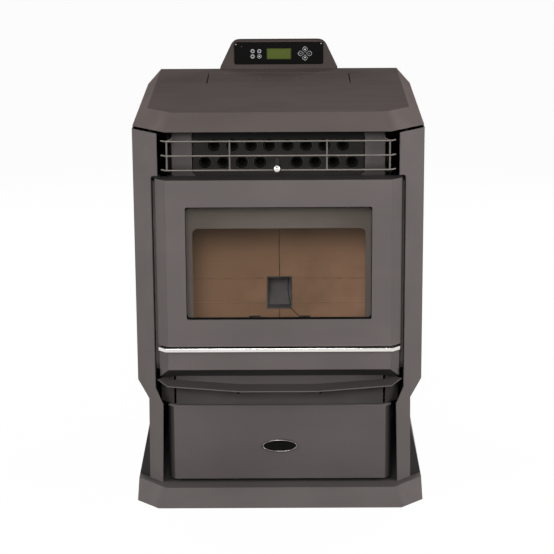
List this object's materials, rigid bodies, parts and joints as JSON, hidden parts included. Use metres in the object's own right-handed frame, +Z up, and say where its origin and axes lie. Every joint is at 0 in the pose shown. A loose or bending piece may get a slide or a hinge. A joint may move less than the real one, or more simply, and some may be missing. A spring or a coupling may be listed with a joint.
{
  "type": "pellet stove",
  "caption": "Free-standing pellet stove with a glazed fire door, tube-bank air outlet, ash drawer, hopper lid and a raised keypad console.",
  "frame": {"origin": "middle of the bounding box's footprint, on the floor", "axes": "+Z up, the front with the door faces -Y, +X to the right seen from the front"},
  "size_m": [0.6056, 0.6582, 0.8971],
  "materials": {
    "body_paint": "fine textured matt enamel",
    "black_paint": "matt high temperature paint",
    "zinc_sheet": "galvanised sheet, dull",
    "chrome": "polished",
    "glass": "clear heat-resistant ceramic glass",
    "rope": "woven glass-fibre rope",
    "firebrick": "pressed refractory board, rough and dull",
    "cast_pot": "as cast",
    "black_plastic": "satin moulded",
    "screen": "glossy window",
    "seal_rubber": "silicone strip"
  },
  "bodies": {
    "root": {"base_plinth": "body_paint", "right_side_panel": "body_paint", "left_side_panel": "body_paint", "right_pedestal_side": "body_paint", "left_pedestal_side": "body_paint", "rear_panel": "body_paint", "top_cover": "body_paint", "console_housing": "body_paint", "front_apron": "body_paint", "ash_lip": "body_paint", "outlet_frame": "body_paint", "right_inner_frame": "black_paint", "left_inner_frame": "black_paint", "front_grille": "black_paint", "heat_exchanger": "black_paint", "firebox_face": "black_paint", "firebox_shell": "black_paint", "burn_air_box": "black_paint", "auger_motor": "black_paint", "flue_fan_housing": "black_paint", "flue_fan_motor": "black_paint", "smoke_duct": "black_paint", "room_fan_housing": "black_paint", "room_fan_motor": "black_paint", "pellet_hopper": "zinc_sheet", "hopper_funnel": "zinc_sheet", "air_intake_pipe": "zinc_sheet", "igniter": "zinc_sheet", "auger_tube": "zinc_sheet", "fuel_chute": "zinc_sheet", "trim_bar": "chrome", "right_firebrick": "firebrick", "left_firebrick": "firebrick", "burn_pot": "cast_pot", "console_keypad": "black_plastic", "power_inlet": "black_plastic", "console_screen": "screen", "hopper_lid_seal": "seal_rubber"},
    "hopper_lid": {"hopper_lid": "body_paint"},
    "firebox_door": {"door_frame": "body_paint", "door_glass": "glass", "glass_retainer": "black_paint", "door_gasket": "rope"},
    "ash_drawer": {"ash_drawer_front": "body_paint", "drawer_badge": "black_plastic", "ash_pan": "zinc_sheet"},
    "tube_scraper": {"scraper_plate": "zinc_sheet", "scraper_rod": "zinc_sheet", "scraper_knob": "chrome"},
    "auger": {"auger_screw": "zinc_sheet"},
    "flue_fan": {"flue_fan_wheel": "zinc_sheet"},
    "room_fan": {"room_fan_wheel": "zinc_sheet"},
    "round_key_upper_left": {"round_key_upper_left": "black_plastic"},
    "round_key_upper_right": {"round_key_upper_right": "black_plastic"},
    "round_key_lower_left": {"round_key_lower_left": "black_plastic"},
    "round_key_lower_right": {"round_key_lower_right": "black_plastic"},
    "arrow_key_right": {"arrow_key_right": "black_plastic"},
    "arrow_key_left": {"arrow_key_left": "black_plastic"},
    "arrow_key_up": {"arrow_key_up": "black_plastic"},
    "arrow_key_down": {"arrow_key_down": "black_plastic"}
  },
  "joints": [
    {"name": "hopper_lid_hinge", "type": "hinge", "parent": "root", "child": "hopper_lid", "pos_m": [0, 0.21745, 0.8284], "axis": [-1, 0, 0], "range_deg": [0, 100]},
    {"name": "door_hinge", "type": "hinge", "parent": "root", "child": "firebox_door", "pos_m": [-0.249, -0.25895, 0.5], "axis": [0, 0, -1], "range_deg": [0, 105]},
    {"name": "ash_drawer_slide", "type": "slide", "parent": "root", "child": "ash_drawer", "axis": [0, -1, 0], "range_m": [0, 0.23]},
    {"name": "tube_scraper_slide", "type": "slide", "parent": "root", "child": "tube_scraper", "axis": [0, -1, 0], "range_m": [0, 0.09]},
    {"name": "auger_turn", "type": "hinge", "parent": "root", "child": "auger", "pos_m": [0, 0.21405, 0.372], "axis": [0, -0.845, 0.5348], "continuous": true},
    {"name": "flue_fan_turn", "type": "hinge", "parent": "root", "child": "flue_fan", "pos_m": [-0.16, 0.15605, 0.152], "axis": [1, 0, 0], "continuous": true},
    {"name": "room_fan_turn", "type": "hinge", "parent": "root", "child": "room_fan", "pos_m": [0.12, 0.17205, 0.15], "axis": [1, 0, 0], "continuous": true},
    {"name": "round_key_upper_left_press", "type": "slide", "parent": "root", "child": "round_key_upper_left", "axis": [0, 1, 0], "range_m": [0, 0.001], "stiffness_N_per_m": 300},
    {"name": "round_key_upper_right_press", "type": "slide", "parent": "root", "child": "round_key_upper_right", "axis": [0, 1, 0], "range_m": [0, 0.001], "stiffness_N_per_m": 300},
    {"name": "round_key_lower_left_press", "type": "slide", "parent": "root", "child": "round_key_lower_left", "axis": [0, 1, 0], "range_m": [0, 0.001], "stiffness_N_per_m": 300},
    {"name": "round_key_lower_right_press", "type": "slide", "parent": "root", "child": "round_key_lower_right", "axis": [0, 1, 0], "range_m": [0, 0.001], "stiffness_N_per_m": 300},
    {"name": "arrow_key_right_press", "type": "slide", "parent": "root", "child": "arrow_key_right", "axis": [0, 1, 0], "range_m": [0, 0.001], "stiffness_N_per_m": 300},
    {"name": "arrow_key_left_press", "type": "slide", "parent": "root", "child": "arrow_key_left", "axis": [0, 1, 0], "range_m": [0, 0.001], "stiffness_N_per_m": 300},
    {"name": "arrow_key_up_press", "type": "slide", "parent": "root", "child": "arrow_key_up", "axis": [0, 1, 0], "range_m": [0, 0.001], "stiffness_N_per_m": 300},
    {"name": "arrow_key_down_press", "type": "slide", "parent": "root", "child": "arrow_key_down", "axis": [0, 1, 0], "range_m": [0, 0.001], "stiffness_N_per_m": 300}
  ]
}
